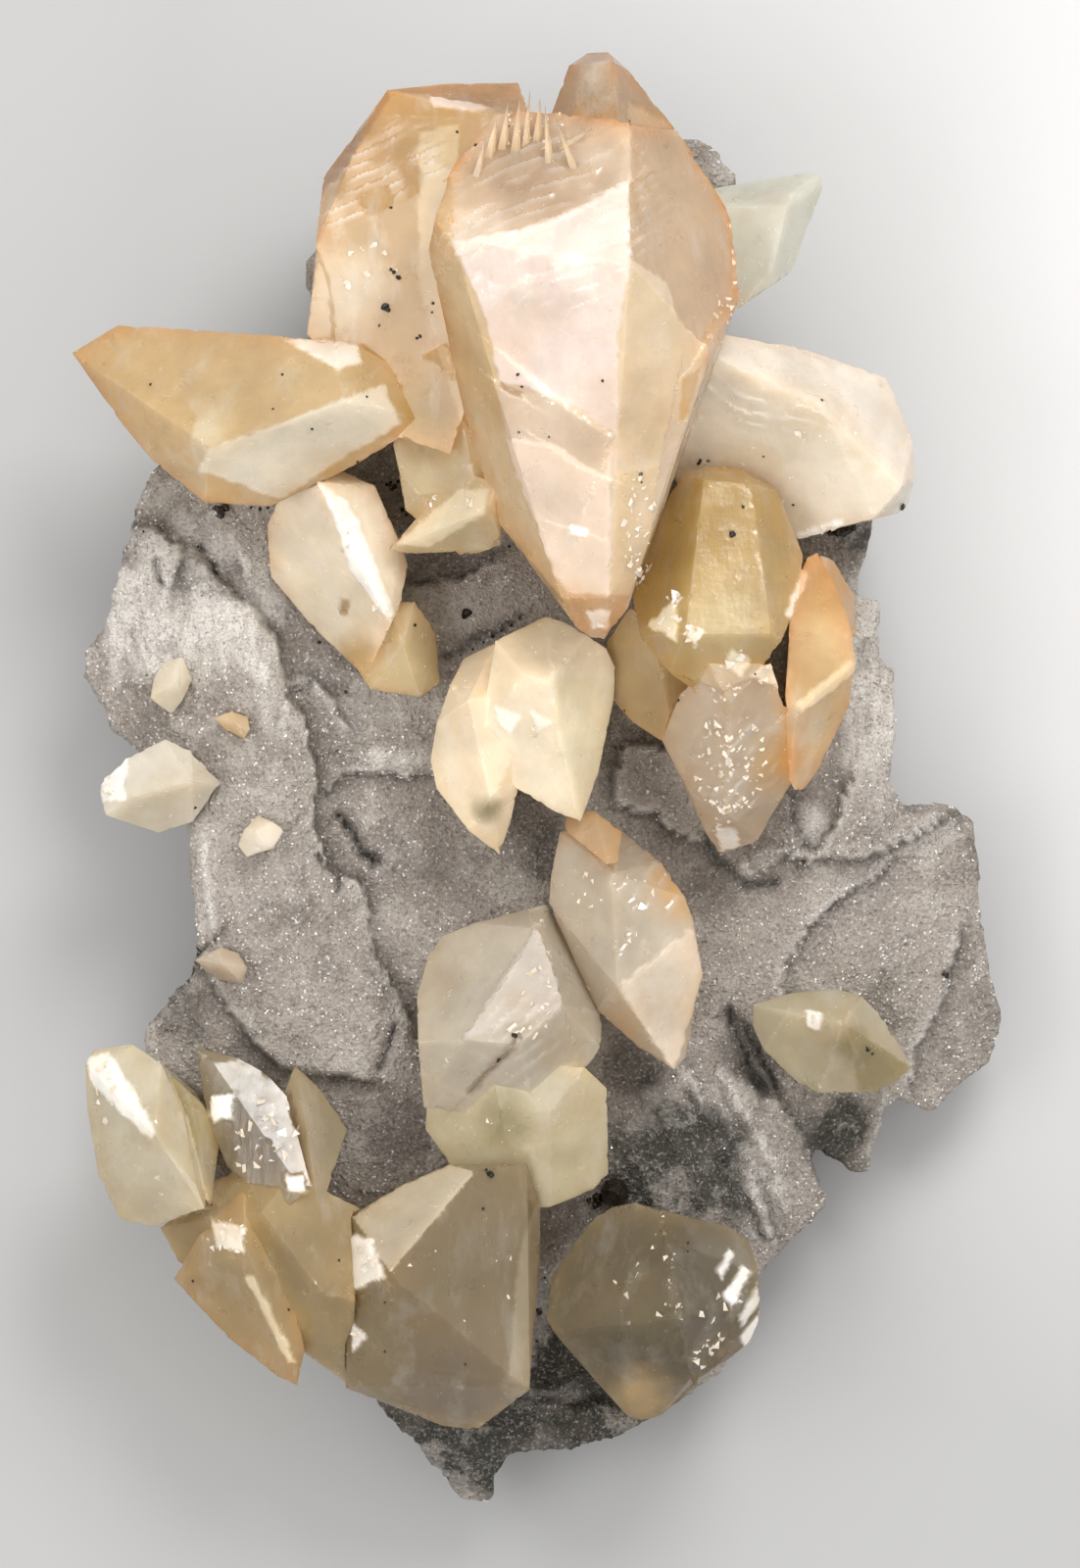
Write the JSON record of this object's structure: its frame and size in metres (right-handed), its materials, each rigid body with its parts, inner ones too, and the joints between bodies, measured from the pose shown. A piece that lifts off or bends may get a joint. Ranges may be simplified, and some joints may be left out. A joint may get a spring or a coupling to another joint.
{
  "type": "calcite cluster on matrix",
  "caption": "Natural calcite cluster: honey and peach crystals grown on a flat plate of grey sparkling rock, a display or teaching specimen that rests on its flat back.",
  "frame": {"origin": "on the surface that the plate rests on, under the middle of the whole specimen's outline", "axes": "+Z up, out of the rock towards the crystal tips; +Y along the plate's long side, towards the main crystal; +X to the right as seen from above with +Y up"},
  "size_m": [0.1884, 0.2924, 0.121],
  "materials": {
    "rock": "grey rock with a druse of fine sparkling grains",
    "peach_calcite": "clear to cloudy peach calcite with grown steps and cleavage",
    "honey_calcite": "clear honey calcite, orange towards its edges",
    "cream_calcite": "pale cream calcite, glossy faces",
    "pale_calcite": "grey-green clear calcite",
    "sphalerite": "black, metallic lustre"
  },
  "bodies": {
    "root": {"matrix": "rock", "crown_group": "peach_calcite", "golden_group": "honey_calcite", "grey_arm": "pale_calcite", "pale_spur": "pale_calcite", "leaning_crystal": "honey_calcite", "centre_twin": "cream_calcite", "bottom_block": "cream_calcite", "silver_kite": "cream_calcite", "lower_kite": "peach_calcite", "olive_crystal": "pale_calcite", "foot_group": "cream_calcite", "edge_egg": "pale_calcite", "small_bipyramid": "cream_calcite", "tiny_block": "cream_calcite", "amber_stub": "honey_calcite", "edge_stub": "honey_calcite", "right_pebble": "pale_calcite", "sphalerite_grain": "sphalerite"}
  },
  "joints": []
}
